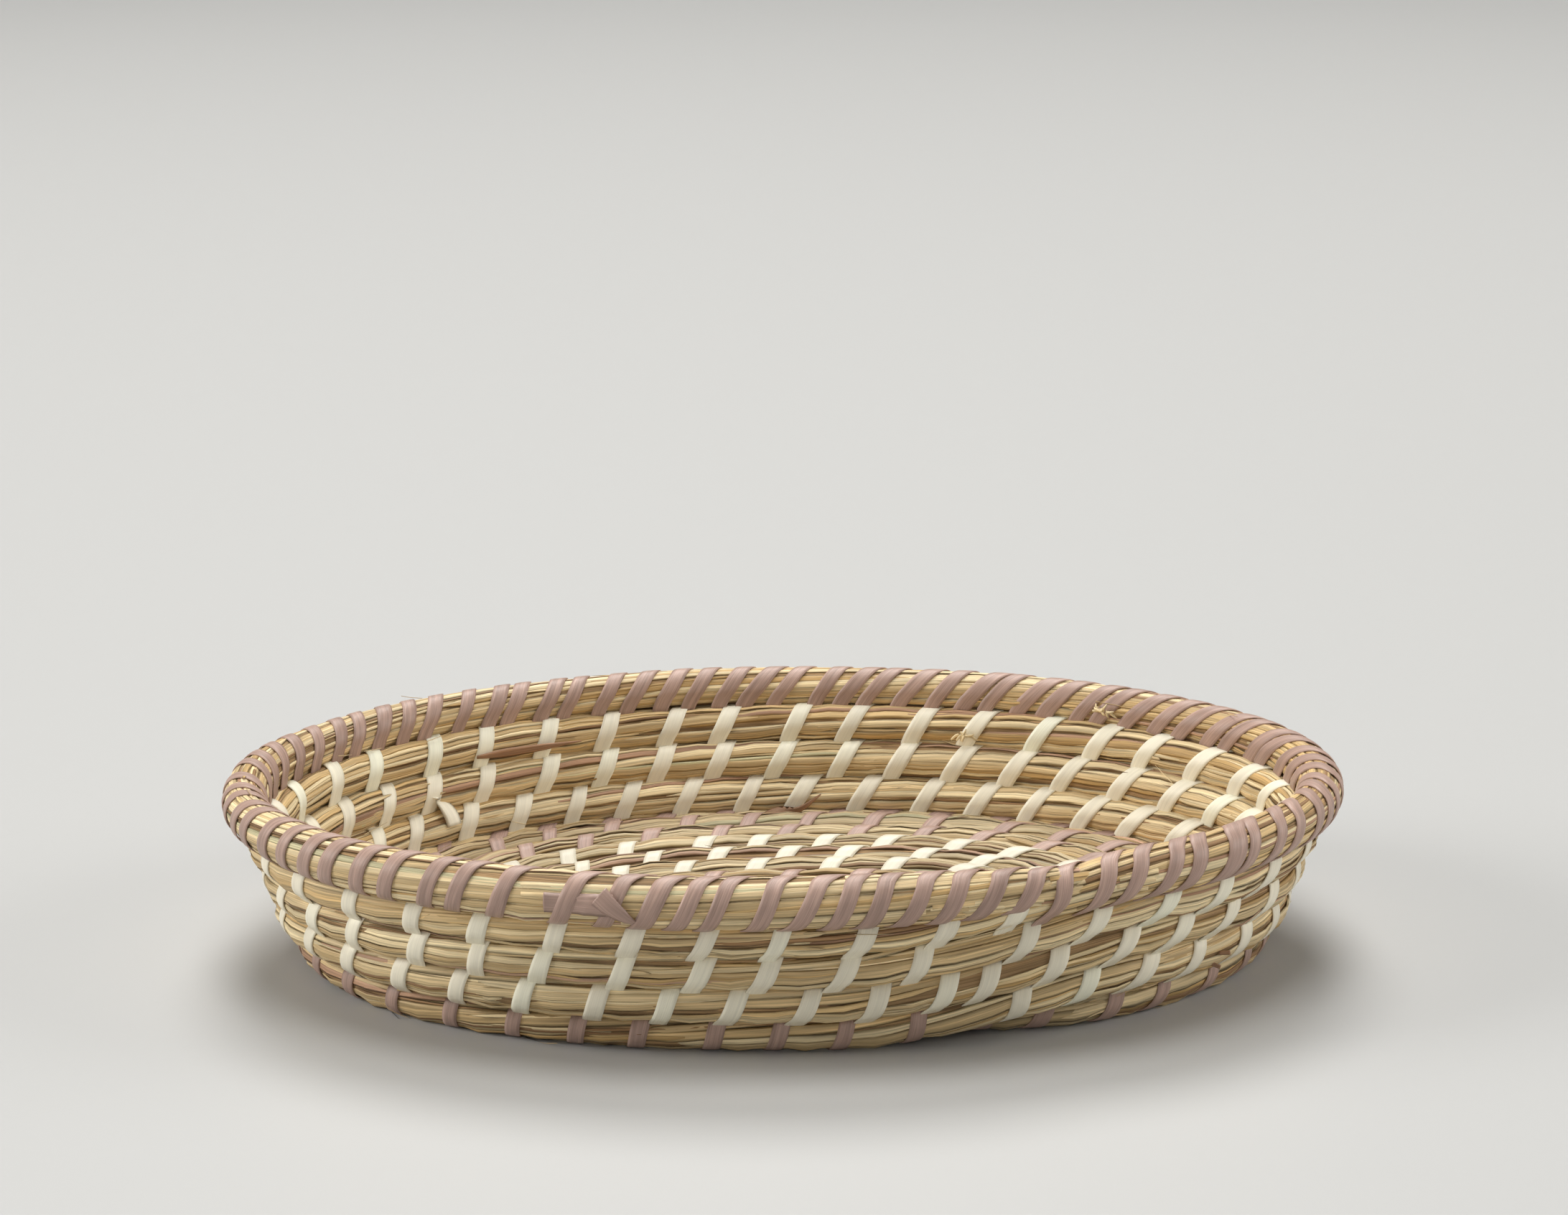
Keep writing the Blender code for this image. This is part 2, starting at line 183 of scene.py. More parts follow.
class Coil:
    """The whole bundle as arrays over its length."""

    def __init__(self):
        first = (START_ANGLE - RAMP_END) / 360
        self.first = first
        self.turn = np.linspace(first, LAST + 1, int((LAST + 1 - first) * STATIONS_PER_TURN))
        self.radius = radius_of(self.turn)
        centre = centre_of(self.turn)
        step = np.linalg.norm(np.diff(centre, axis=0), axis=1)
        self.arc = np.concatenate([[0], np.cumsum(step)])
        below = self.beside(centre, -1)
        above = self.beside(centre, 1)
        self.frame_on(centre)
        self.low, self.low_gap = self.toward(centre, below, -math.pi)
        self.up, _ = self.toward(centre, above, 0)
        self.low[self.turn < first + 1.05] = -math.pi
        last = smooth((self.turn - (LAST - RAMP_SHARE)) / RAMP_SHARE)
        self.up = self.up * (1 - last) + (self.low + math.pi) * last
        self.centre = centre
        self.centre[:, 2] += wave(self.arc, 0.035, 0.00022, 3)
        self.frame_on(self.centre)

    def beside(self, centre, turns):
        """Centre of the round that many turns away."""
        return np.stack([np.interp(self.turn + turns, self.turn, centre[:, k]) for k in range(3)], 1)

    def frame_on(self, centre):
        self.along = unit(np.gradient(centre, axis=0))
        level = self.along * np.array([1, 1, 0])
        level = unit(level)
        self.outward = np.stack([level[:, 1], -level[:, 0], np.zeros(len(level))], 1)
        self.upward = unit(np.cross(self.outward, self.along))

    def toward(self, centre, other, middle):
        """Angle from outward to upward of the direction to a neighbour, near a middle value."""
        way = other - centre
        sideways = (way * self.outward).sum(1)
        rise = (way * self.upward).sum(1)
        angle = np.arctan2(rise, sideways)
        low = middle - math.pi * 0.35
        angle = (angle - low) % math.tau + low
        return angle, np.hypot(sideways, rise) / 2

    def at(self, arc):
        """Everything about the coil at these distances along it."""
        pick = lambda values: np.interp(arc, self.arc, values)
        found = {name: pick(getattr(self, name)) for name in ("turn", "radius", "low", "up", "low_gap")}
        for name in ("centre", "outward", "upward", "along"):
            values = getattr(self, name)
            found[name] = np.stack([pick(values[:, k]) for k in range(3)], 1)
        return found

    def arc_at(self, turn):
        return np.interp(turn, self.turn, self.arc)


coil = Coil()


def heading(low, up, psi):
    """Angle in the section of a place round the bundle: -90 is towards the round below, 0 outside."""
    turned = np.mod(psi + math.pi / 2, math.tau)
    outer = low + (up - low) * turned / math.pi
    inner = up + (low + math.tau - up) * (turned - math.pi) / math.pi
    return np.where(turned <= math.pi, outer, inner)


# Stitches of each round: how many, where the first one stands, and which rounds are mauve
WALL_STITCHES = 40
RIM_WRAPS = 83
STITCH_COUNTS = {1: 9, 2: 13, 3: 16, 4: 20, 5: 24, 6: 27, 7: 31}
STITCH_COUNTS.update({level: WALL_STITCHES for level in range(FOOT, LAST)})
STITCH_COUNTS[LAST] = RIM_WRAPS
STITCH_PHASES = {1: 0.2, 2: 0.74, 3: 0.59, 4: 0.90, 5: 0.11, 6: 0.13, 7: 0.58}
STITCH_PHASES.update({level: 0.17 + 0.5 * (level % 2) for level in range(FOOT, LAST)})
STITCH_PHASES[LAST] = 0.5
STITCH_WANDER = {True: 0.10, False: 0.05}
MAUVE_LEVELS = (1, 2, 6, 7, 8, 12)
ROUND_START = 0.0625
RIM_START = 0.045
TUCKED_WRAP = 69


def stitch_places(level):
    """Distances along the coil of the stitches of one round."""
    start = coil.arc_at(level - (RIM_START if level == LAST else ROUND_START))
    end = coil.arc_at(level + 1 - (RIM_START if level >= LAST - 1 else ROUND_START))
    count = STITCH_COUNTS[level]
    local = np.random.default_rng(100 + level)
    wander = local.normal(0, STITCH_WANDER[level == LAST], count)
    share = (np.arange(count) + STITCH_PHASES[level] + wander) / count
    if level == LAST:
        share = np.delete(share, TUCKED_WRAP)
    return start + (end - start) * share


def slant(psi):
    """How far along the coil a strip has moved, in advances, at a place round the bundle."""
    inner = np.maximum(psi - math.pi / 2, 0) / math.pi
    return psi / math.pi + SLANT_CURVE * np.cos(psi) + INNER_SLANT * inner


STITCHES = {level: stitch_places(level) for level in STITCH_COUNTS}
WRAP_SPACING = float(np.mean(np.diff(STITCHES[LAST])))
ALL_PLACES = np.sort(np.concatenate([places for places in STITCHES.values()]))


def advance_at(arc):
    """How far a strip here moves along the bundle on one face."""
    turn = np.interp(arc, coil.arc, coil.turn)
    base = np.where(arc > STITCHES[LAST][0] - 1e-9, WRAP_ADVANCE, STITCH_ADVANCE)
    around = 1 + SLANT_SWING * np.cos(angle_of(turn) - math.radians(SLANT_MOST_AT))
    beside_ramp = np.maximum(np.cos(angle_of(turn) - math.radians(RAMP_SLANT_AT)), 0) ** 4
    return base * (around + RAMP_SLANT * beside_ramp * (arc < STITCHES[LAST][0]))


ADVANCES = advance_at(ALL_PLACES)


def pinch(arc, psi):
    """How far the bundle is drawn in at a place: 1 under a strip and 0 midway between."""
    index = np.searchsorted(ALL_PLACES, arc)
    squeeze = np.zeros(len(arc))
    psi = np.mod(psi + math.pi / 2, math.tau) - math.pi / 2
    for shift in (-2, -1, 0, 1):
        pick = np.clip(index + shift, 0, len(ALL_PLACES) - 1)
        line = ALL_PLACES[pick] + ADVANCES[pick] * slant(psi)
        squeeze = np.maximum(squeeze, 1 - smooth((np.abs(arc - line) - PINCH_FLAT) / PINCH_FADE))
    return squeeze


def on_face(psi):
    """Share of the pinch that shows: the bundle stays full where it touches its neighbours."""
    return GROOVE_PINCH_SHARE + (1 - GROOVE_PINCH_SHARE) * np.cos(psi) ** 2


def surface(arc, psi, offset):
    """Points on the bundle's surface, with the outward direction there."""
    at = coil.at(arc)
    angle = heading(at["low"], at["up"], psi)
    direction = at["outward"] * np.cos(angle)[:, None] + at["upward"] * np.sin(angle)[:, None]
    squeeze = pinch(arc, psi)
    reach = at["radius"] + offset - PINCH_DEPTH * squeeze * on_face(psi)
    return at["centre"] + direction * reach[:, None], direction, at["along"], squeeze


def mesh_object(name, points, faces, attributes=None, uv=None):
    """An object from arrays of points and of faces of one or more corner counts."""
    mesh = bpy.data.meshes.new(name)
    loops = np.concatenate([part.ravel() for part in faces]).astype(np.int32)
    sizes = np.concatenate([np.full(len(part), part.shape[1]) for part in faces])
    starts = np.concatenate([[0], np.cumsum(sizes)[:-1]]).astype(np.int32)
    mesh.vertices.add(len(points))
    mesh.vertices.foreach_set("co", np.asarray(points, np.float32).ravel())
    mesh.loops.add(len(loops))
    mesh.loops.foreach_set("vertex_index", loops)
    mesh.polygons.add(len(sizes))
    mesh.polygons.foreach_set("loop_start", starts)
    mesh.polygons.foreach_set("use_smooth", np.ones(len(sizes), bool))
    mesh.update(calc_edges=True)
    for label, values in (attributes or {}).items():
        layer = mesh.attributes.new(label, "FLOAT_COLOR", "POINT")
        layer.data.foreach_set("color", np.asarray(values, np.float32).ravel())
    if uv is not None:
        layer = mesh.uv_layers.new(name="length_and_width")
        layer.data.foreach_set("uv", np.asarray(uv, np.float32)[loops].ravel())
    mesh.validate()
    made = bpy.data.objects.new(name, mesh)
    bpy.context.scene.collection.objects.link(made)
    return made


class Gather:
    """Collects many small closed tubes and bands into one mesh."""

    def __init__(self):
        self.points, self.quads, self.caps, self.colours, self.uvs = [], [], [], [], []
        self.count = 0

    def tube(self, rings, colour, uv, corner_painted_shading=1.0):
        """rings is stations by corners by 3, and the colour at each corner is multiplied by its factor: painted
        shade below one, painted highlight above one.
        """
        stations, corners = rings.shape[:2]
        index = np.arange(stations * corners).reshape(stations, corners) + self.count
        ahead = np.roll(index, -1, axis=1)
        quads = np.stack([index[:-1], ahead[:-1], ahead[1:], index[1:]], 2).reshape(-1, 4)
        rings[..., 2] = np.maximum(rings[..., 2], GROUND_GAP)
        self.points.append(rings.reshape(-1, 3))
        self.quads.append(quads)
        self.caps.append(index[:1, ::-1])
        self.caps.append(index[-1:])
        colour_with_painted_shade = np.multiply.outer(corner_painted_shading * np.ones(corners), colour)
        self.colours.append(np.tile(np.column_stack([colour_with_painted_shade, np.ones(corners)]), (stations, 1)))
        self.uvs.append(uv.reshape(-1, 2))
        self.count += stations * corners

    def build(self, name):
        faces = [np.concatenate(self.quads), np.concatenate(self.caps)]
        attributes = {"stem_colour": np.concatenate(self.colours)}
        return mesh_object(name, np.concatenate(self.points), faces, attributes, np.concatenate(self.uvs))


# Colours, written in the values that a screen shows
def screen(*rgb):
    """Linear colour from 0 to 255 screen values."""
    values = np.array(rgb) / 255
    return tuple(np.where(values <= 0.04045, values / 12.92, ((values + 0.055) / 1.055) ** 2.4))


STRAW = (screen(205, 175, 125), screen(241, 220, 175))
GOLD = (screen(190, 155, 100), screen(228, 196, 141))
BROWN = (screen(176, 136, 104), screen(206, 168, 138))
GREEN = (screen(180, 172, 130), screen(206, 196, 154))
DARK = (screen(128, 96, 62), screen(160, 124, 84))
# Painted shade: the bundle's inside is drawn darker than its stems, for the shade between them
CORE_SHADOW_COLOUR = screen(168, 136, 96)
# Painted shade: the stems of the basket's floor are drawn darker than those of the wall, as if the floor caught less
# light
FLOOR_STEMS_PAINTED_SHADE = 0.68
STEM_KINDS = ((0.72, STRAW, 1.0), (0.87, GOLD, 0.9), (0.92, BROWN, 0.8), (0.94, GREEN, 0.7), (1.0, DARK, 0.45))


def stem_colour():
    """A stem's colour and how wide such stems are."""
    pick = rng.random()
    (low, high), wide = next((colours, wide) for limit, colours, wide in STEM_KINDS if pick <= limit)
    part = rng.random()
    return tuple(a + (b - a) * part for a, b in zip(low, high)), wide


STEM_SECTION = np.array([(-0.5, -0.2), (-0.25, 0.42), (0.25, 0.42), (0.5, -0.2), (0.0, -0.5)])
# Painted light on each blade: its crown is painted lighter and its edges and underside darker, as shade falls
# between blades
STEM_PAINTED_SHADING = np.array([0.55, 1.07, 1.03, 0.66, 0.5])
END_TAPER = 0.016
END_POINT = 0.08
LOOSE_SHARE = 0.07
LOOSE_LIFT = 0.0013
END_SINK = 0.0009
END_GAP = 0.0010


def add_stem(gather, start, length, psi, drift, width, thick, depth, colour, blunt=False):
    """A flat blade that lies on the bundle and is pressed in under each strip.

    All blades have their rings at the same places along the bundle, so that neighbours bend alike.
    """
    shared = np.arange(math.ceil(start / STEM_STEP), math.ceil((start + length) / STEM_STEP)) * STEM_STEP
    shared = shared[(shared > start + END_GAP) & (shared < start + length - END_GAP)]
    arc = np.concatenate([[start], shared, [start + length]])
    stations = len(arc)
    place = psi + drift * (arc - start) + wave(arc, 0.05, 0.06, rng.integers(1 << 30))
    left = np.minimum(arc - start, start + length - arc)
    taper = np.clip(left / END_TAPER, 0, 1)
    shrink = np.ones(stations) if blunt else END_POINT + (1 - END_POINT) * np.sqrt(taper)
    rise = LOOSE_LIFT if rng.random() < LOOSE_SHARE else -END_SINK
    sink = 0 if blunt else rise * (1 - taper) ** 2
    at = coil.at(arc)
    across, height = STEM_SECTION[None, :, 0], STEM_SECTION[None, :, 1]
    wide = (width * shrink)[:, None] * across
    around = place[:, None] + wide / at["radius"][:, None]
    squeeze = pinch(np.repeat(arc, len(STEM_SECTION)), around.ravel()).reshape(around.shape)
    wander = wave(arc, 0.025, 0.00002, rng.integers(1 << 30))
    tilt = wave(arc, 0.03, 0.02, rng.integers(1 << 30))[:, None] * (1 - squeeze)
    lift = (depth + sink + wander)[:, None] * (1 - LAYER_PRESS * squeeze)
    angle = heading(at["low"][:, None], at["up"][:, None], around)
    reach = at["radius"][:, None] - PINCH_DEPTH * squeeze * on_face(around) + lift
    reach = reach + height * (thick * shrink)[:, None] * (1 - 0.3 * squeeze) + wide * tilt - thick * 0.5
    rings = (at["centre"][:, None] + at["outward"][:, None] * (np.cos(angle) * reach)[..., None]
             + at["upward"][:, None] * (np.sin(angle) * reach)[..., None])
    uv = np.zeros((stations, len(STEM_SECTION), 2))
    uv[..., 0] = (arc - start)[:, None] + rng.random() * 7
    uv[..., 1] = across * width + rng.random() * 3
    # Painted shade on the blade's edges and underside and painted highlight on its crown
    gather.tube(rings, colour, uv, STEM_PAINTED_SHADING)


def make_stems(name, turn_from, turn_to, shade=1.0):
    """Stems laid round the bundle between two places of the coil; shade darkens their colour as painted shade."""
    gather = Gather()
    start = coil.arc_at(turn_from)
    end = coil.arc_at(turn_to)
    for lane in range(STEMS_ROUND):
        psi = -math.pi / 2 + math.tau * (lane + 0.5) / STEMS_ROUND
        if turn_to > LAST:
            end = coil.arc_at(LAST + 1 - RAMP_SHARE * rng.uniform(*TAIL_ENDS))
        place = max(start - rng.uniform(0, 0.05) * (turn_from > coil.first + 0.1), 0)
        while place < end - 0.01:
            length = min(rng.uniform(*STEM_LENGTHS), end - place)
            if length > 0.012:
                colour, wide = stem_colour()
                width = rng.uniform(*STEM_WIDTHS) * wide
                thick = STEM_THICKNESS * rng.uniform(0.7, 1.4)
                twist = STEM_TWIST + rng.normal(0, TWIST_SPREAD)
                here = psi + STEM_TWIST * (place - start) + rng.normal(0, 0.09)
                cut = turn_to > LAST and place + length > end - 0.001
                depth = LAYERS[lane % len(LAYERS)]
                # shade is painted shade on the floor's stems and 1 elsewhere
                colour_with_painted_shade = tuple(part * shade for part in colour)
                add_stem(gather, place, length, here, twist, width, thick, depth, colour_with_painted_shade, cut)
            place += length - rng.uniform(0.004, 0.02)
    return gather.build(name)


def make_core():
    """Inside of the bundle, seen only between the stems and drawn dark as painted shade."""
    gather = Gather()
    arc = np.arange(0, coil.arc[-1] - END_GAP, STEM_STEP)
    at = coil.at(arc)
    corner = np.arange(CORE_CORNERS) / CORE_CORNERS * math.tau
    angle = heading(at["low"][:, None], at["up"][:, None], corner[None, :] + 0 * arc[:, None])
    reach = (at["radius"] * CORE_TUBE_SHARE)[:, None] - PINCH_DEPTH * on_face(corner)[None, :]
    rings = (at["centre"][:, None] + at["outward"][:, None] * (np.cos(angle) * reach)[..., None]
             + at["upward"][:, None] * (np.sin(angle) * reach)[..., None])
    uv = np.stack(np.broadcast_arrays(arc[:, None], corner[None] * 0.006), 2)
    gather.tube(rings, CORE_SHADOW_COLOUR, uv)
    return gather.build("bundle_inside")


BITE_OUT = 0.60
BITE_DOWN = 1.22
BURY_OUT = 0.36
BURY_DOWN = 1.46
ARC_STOPS = np.radians(np.linspace(-42, 222, 17))
BAND_STEPS = 30


def catmull(points, count):
    """A smooth line through points, sampled evenly by index."""
    padded = np.vstack([2 * points[0] - points[1], points, 2 * points[-1] - points[-2]])
    place = np.linspace(0, len(points) - 1, count)
    index = np.minimum(place.astype(int), len(points) - 2)
    t = (place - index)[:, None]
    a, b, c, d = (padded[index + k] for k in range(4))
    return 0.5 * (2 * b + (c - a) * t + (2 * a - 5 * b + 4 * c - d) * t**2 + (3 * b - a - 3 * c + d) * t**3)


def section_point(at, across, down, k):
    """A place given in the frame whose down axis points at the round below."""
    low = at["low"][k]
    reach = at["low_gap"][k]
    direction = at["outward"][k] * math.cos(low) + at["upward"][k] * math.sin(low)
    outer = low + math.pi / 2
    sideways = at["outward"][k] * math.cos(outer) + at["upward"][k] * math.sin(outer)
    return at["centre"][k] + direction * (down * reach) + sideways * (across * reach), sideways


def partner_of(at):
    """The tail or the rising stretch that is wrapped together with this part of the rim."""
    turn = at["turn"]
    other = coil.at(coil.arc_at(turn + 1))
    joined = (turn > LAST - RAMP_SHARE) & (turn < LAST) & (turn + 1 < LAST + 1)
    return other, joined


def hull(at, points, direction, lift):
    """Moves points of a wrap out so that it also goes round the thin tail beside its bundle."""
    other, joined = partner_of(at)
    beside = other["centre"] + direction * (other["radius"] + lift + TAIL_CLEARANCE)[:, None]
    further = ((beside - points) * direction).sum(1)
    rise = (further + np.sqrt(further**2 + HULL_ROUNDING**2)) / 2
    return points + direction * (rise * joined)[:, None]


def stitch_path(place, advance, rim):
    """Centre line of one stitch, the outward directions and the bundle's direction along it."""
    psi = np.concatenate([[-math.pi * 0.60, -math.pi * 0.54], ARC_STOPS, [math.pi * 1.54, math.pi * 1.60]])
    held = np.clip(psi, ARC_STOPS[0] * 1.5, math.pi - ARC_STOPS[0] * 1.5)
    arc = np.clip(place + advance * slant(held), 0, coil.arc[-1])
    points, direction, along, _ = surface(arc, psi, STRIP_LIFT)
    at = coil.at(arc)
    if rim:
        points = hull(at, points, direction, STRIP_LIFT)
    if at["turn"][0] > coil.first + 1.1:
        points[0], direction[0] = section_point(at, BURY_OUT, BURY_DOWN, 0)
        points[1], direction[1] = section_point(at, BITE_OUT, BITE_DOWN, 1)
        points[-2], side = section_point(at, -BITE_OUT, BITE_DOWN, -2)
        points[-1], last_side = section_point(at, -BURY_OUT, BURY_DOWN, -1)
        direction[-2], direction[-1] = -side, -last_side
    return tuple(catmull(values, BAND_STEPS) for values in (points, direction, along))


STRIP_LIFT = 0.00052
TAIL_CLEARANCE = 0.0002
HULL_ROUNDING = 0.0005
BAND_ACROSS = np.array([-0.5, -0.3, 0.3, 0.5])
EDGE_DROP = 0.00015


def add_band(gather, points, outward, along, width, colour):
    """A flat strip round the bundle, whose cross lines lie along the bundle."""
    track = unit(np.gradient(points, axis=0))
    along = unit(along)
    square = np.linalg.norm(np.cross(track, along), axis=1)
    out = np.cross(track, along)
    out = unit(out) * np.sign((out * outward).sum(1))[:, None]
    wide = width / np.maximum(square, 0.5) * (1 + wave(np.arange(len(points)) * 1.0, 6, 0.03, rng.integers(1 << 30)))
    drop = EDGE_DROP * (2 * BAND_ACROSS) ** 2
    top = (points[:, None] + along[:, None] * (BAND_ACROSS[None, :, None] * wide[:, None, None])
           - out[:, None] * drop[None, :, None])
    bottom = top[:, ::-1] - out[:, None] * STRIP_THICKNESS
    rings = np.concatenate([top, bottom], 1)
    length = np.concatenate([[0], np.cumsum(np.linalg.norm(np.diff(points, axis=0), axis=1))])
    uv = np.zeros(rings.shape[:2] + (2,))
    uv[..., 0] = length[:, None] + rng.random() * 5
    uv[..., 1] = np.concatenate([BAND_ACROSS, BAND_ACROSS[::-1]])[None] * width + rng.random() * 2
    gather.tube(rings, colour, uv)


def make_stitches(name, level, width, colour):
    gather = Gather()
    for place in STITCHES[level]:
        tone = rng.normal(1, 0.035)
        points, outward, along = stitch_path(place, advance_at(place) * rng.normal(1, 0.06), level == LAST)
        shade = tuple(np.clip(np.array(colour) * tone, 0, 0.95))
        broad = width * rng.normal(1, 0.04)
        if abs(place - coil.arc_at(WIDE_WRAP_TURN)) < WRAP_SPACING / 2:
            broad *= WIDE_WRAP_SHARE
        add_band(gather, points, outward, along, broad, shade)
    return gather.build(name)


# Loose ends, each a line of (turn of the coil, degrees round the bundle, millimetres off it)
def loose_line(stops, count, pressed):
    """A smooth line through such stops, and the outward directions along it."""
    turn, around, lift = np.array(stops, float).T
    if pressed:
        line = catmull(np.stack([coil.arc_at(turn), np.radians(around), lift / 1000], 1), count)
        points, direction, _, _ = surface(line[:, 0], line[:, 1], line[:, 2])
        return points, direction
    at = coil.at(coil.arc_at(turn))
    angle = heading(at["low"], at["up"], np.radians(around))
    direction = at["outward"] * np.cos(angle)[:, None] + at["upward"] * np.sin(angle)[:, None]
    points = at["centre"] + direction * (at["radius"] + lift / 1000)[:, None]
    return catmull(points, count), unit(catmull(direction, count))


def add_ribbon(gather, stops, widths, thick, colour, count=14, pressed=False):
    """A free strip or blade along a line, with its width from start to end."""
    points, outward = loose_line(stops, count, pressed)
    track = unit(np.gradient(points, axis=0))
    side = unit(np.cross(track, outward))
    out = np.cross(side, track)
    wide = np.interp(np.linspace(0, 1, count), np.linspace(0, 1, len(widths)), widths)
    section = STEM_SECTION[None]
    rings = (points[:, None] + side[:, None] * (section[..., :1] * wide[:, None, None])
             + out[:, None] * (section[..., 1:] * thick))
    length = np.concatenate([[0], np.cumsum(np.linalg.norm(np.diff(points, axis=0), axis=1))])
    uv = np.zeros(rings.shape[:2] + (2,))
    uv[..., 0] = length[:, None] + rng.random()
    uv[..., 1] = section[..., 0] * wide.mean() + rng.random()
    gather.tube(rings, colour, uv)


def add_laid_strip(gather, stops, widths, thick, colour, count=30):
    """A strip that follows the bundle's round surface along a line of stops."""
    turn, around, lift = np.array(stops, float).T
    line = catmull(np.stack([coil.arc_at(turn), np.radians(around), lift / 1000], 1), count)
    radius = coil.at(line[:, 0])["radius"]
    ahead = np.gradient(line[:, 0])
    swing = np.gradient(line[:, 1]) * radius
    size = np.hypot(ahead, swing)
    wide = np.interp(np.linspace(0, 1, count), np.linspace(0, 1, len(widths)), widths)
    rings, uv = [], np.zeros((count, len(LAID_SECTION), 2))
    for corner, (across, height) in enumerate(LAID_SECTION):
        offset = across * wide
        arc = line[:, 0] - offset * swing / size
        psi = line[:, 1] + offset * ahead / size / radius
        rings.append(surface(arc, psi, line[:, 2] + height * thick)[0])
        uv[:, corner, 0] = line[:, 0] - line[0, 0] + line[:, 1] * radius
        uv[:, corner, 1] = offset
    gather.tube(np.stack(rings, 1), colour, uv)


def make_splice_tail():
    """End of the mauve strip: laid along the rim, under one wrap, then folded down over the next."""
    gather = Gather()
    add_laid_strip(gather, SPLICE_ALONG, (0.0062, 0.0066, 0.0064), STRIP_THICKNESS, MAUVE_COLOUR)
    add_laid_strip(gather, SPLICE_FOLD, (0.0060, 0.0052, 0.0042, 0.0020), STRIP_THICKNESS, MAUVE_COLOUR)
    return gather.build("splice_tail")


def make_torn_strip():
    gather = Gather()
    add_ribbon(gather, TORN_STRIP, (0.0054, 0.0058, 0.0052, 0.0036), STRIP_THICKNESS, CREAM_COLOUR)
    return gather.build("torn_strip")


def make_loose_ends():
    """Cut ends at the splice, tufts and blades that stand off, and stray fibres."""
    gather = Gather()
    pale, brown = STRAW[1], BROWN[0]
    for wrap, around, width in STUBS:
        psi = math.radians(around)
        place = STITCHES[LAST][wrap]
        end = place + advance_at(place) * slant(psi) + WRAP_SPACING * rng.uniform(*STUB_PAST_WRAP)
        part = rng.random()
        tone = tuple(a + (b - a) * part for a, b in zip(*STRAW))
        add_stem(gather, end - STUB_LENGTH, STUB_LENGTH, psi, 0, width / 1000, STUB_THICKNESS, STUB_DEPTH,
                 tone, True)
    for stops in LOOSE_BLADES:
        add_ribbon(gather, stops, (0.0012, 0.0034, 0.0026, 0.0004), 0.0003, brown)
    for stops in KNOTS:
        add_ribbon(gather, stops, (0.0014, 0.0016), 0.0011, BROWN[0], 8)
    for turn, around in TUFTS:
        for blade in range(TUFT_BLADES):
            lean, foot = rng.uniform(-0.0035, 0.0035), rng.uniform(-0.002, 0.002)
            rise, swing = rng.uniform(0.6, 1.9), rng.uniform(-26, 20)
            stops = [(turn + foot, around + swing * 0.3, 0), (turn + foot + lean * 0.3, around, rise * 0.8),
                     (turn + foot + lean, around + swing * 0.6, rise),
                     (turn + foot + lean * 1.2, around + swing, rise * 0.5)]
            add_ribbon(gather, stops, (0.0012, 0.0010, 0.0008, 0.0004), 0.00022, pale, 12)
    for fibre in range(FIBRES):
        turn = rng.uniform(3, LAST + 0.85)
        around = rng.uniform(-70, 250)
        reach = rng.uniform(0.006, 0.02) * rng.choice((-1, 1))
        swing = rng.normal(0, 25)
        rise = rng.uniform(0.5, 2.2)
        stops = [(turn, around, 0.2), (turn + reach / 2, around + swing / 2, 0.3 + rise * 0.3),
                 (turn + reach, around + swing, rise)]
        add_ribbon(gather, stops, (0.0003, 0.00025, 0.0001), 0.00018, STRAW[rng.integers(2)], 10)
    return gather.build("loose_ends")


LAID_SECTION = ((0.5, -0.1), (0.3, 0.5), (0.0, 0.5), (-0.3, 0.5), (-0.5, -0.1), (-0.3, -0.5), (0.3, -0.5))
SPLICE_ALONG = ((12.8190, 27, 0.45), (12.8215, 27, 0.22), (12.8260, 28, 0.10), (12.8305, 29, 0.40),
                (12.8340, 30, 0.85), (12.8385, 31, 0.95))
SPLICE_FOLD = ((12.8345, 50, 1.05), (12.8375, 32, 1.35), (12.8410, 12, 1.25), (12.8440, -8, 0.75))
TORN_STRIP = ((9.5150, 190, 0.6), (9.5154, 160, 0.8), (9.5170, 132, 2.2), (9.5195, 116, 4.2), (9.5220, 124, 5.2))
# Cut ends beside the splice: which wrap they stick out past, degrees round the bundle, width in mm
STUBS = ((-3, 27, 2.4), (-3, 8, 2.2), (-3, -10, 2.6), (-2, 4, 2.0), (-2, -12, 2.6), (-1, 2, 2.2),
         (-1, -14, 1.8), (0, 56, 1.8), (2, 42, 1.8), (2, 24, 2.2), (2, 4, 2.0), (1, -16, 2.0))
STUB_LENGTH = 0.012
STUB_THICKNESS = 0.0009
STUB_DEPTH = 0.0006
STUB_PAST_WRAP = (0.48, 0.62)
LOOSE_BLADES = (
    ((8.395, 225, 0.3), (8.388, 190, 2.0), (9.380, 225, 3.2), (9.372, 190, 1.6)),
    ((11.497, 214, 0.3), (11.485, 212, 0.9), (11.472, 208, 1.5), (11.456, 200, 2.8)),
)
KNOTS = (
    ((10.2455, 96, 0.2), (10.2475, 104, 1.5), (10.2500, 98, 1.1)),
    ((10.2490, 106, 0.2), (10.2465, 112, 1.6), (10.2440, 104, 1.4)),
    ((9.0340, -14, -0.6), (9.0352, -12, 0.8), (9.0360, -10, 2.0)),
    ((9.0370, 14, -0.6), (9.0385, 16, 0.8), (9.0395, 18, 2.0)),
)
TUFTS = ((11.322, 208), (12.270, 206))
TUFT_BLADES = 10
FIBRES = 70


# Materials
def new_material(name):
    made = bpy.data.materials.new(name)
    made.use_nodes = True
    tree = made.node_tree
    return made, tree, tree.nodes["Principled BSDF"]


def node(tree, kind, **values):
    made = tree.nodes.new(kind)
    for key, value in values.items():
        setattr(made, key, value)
    return made


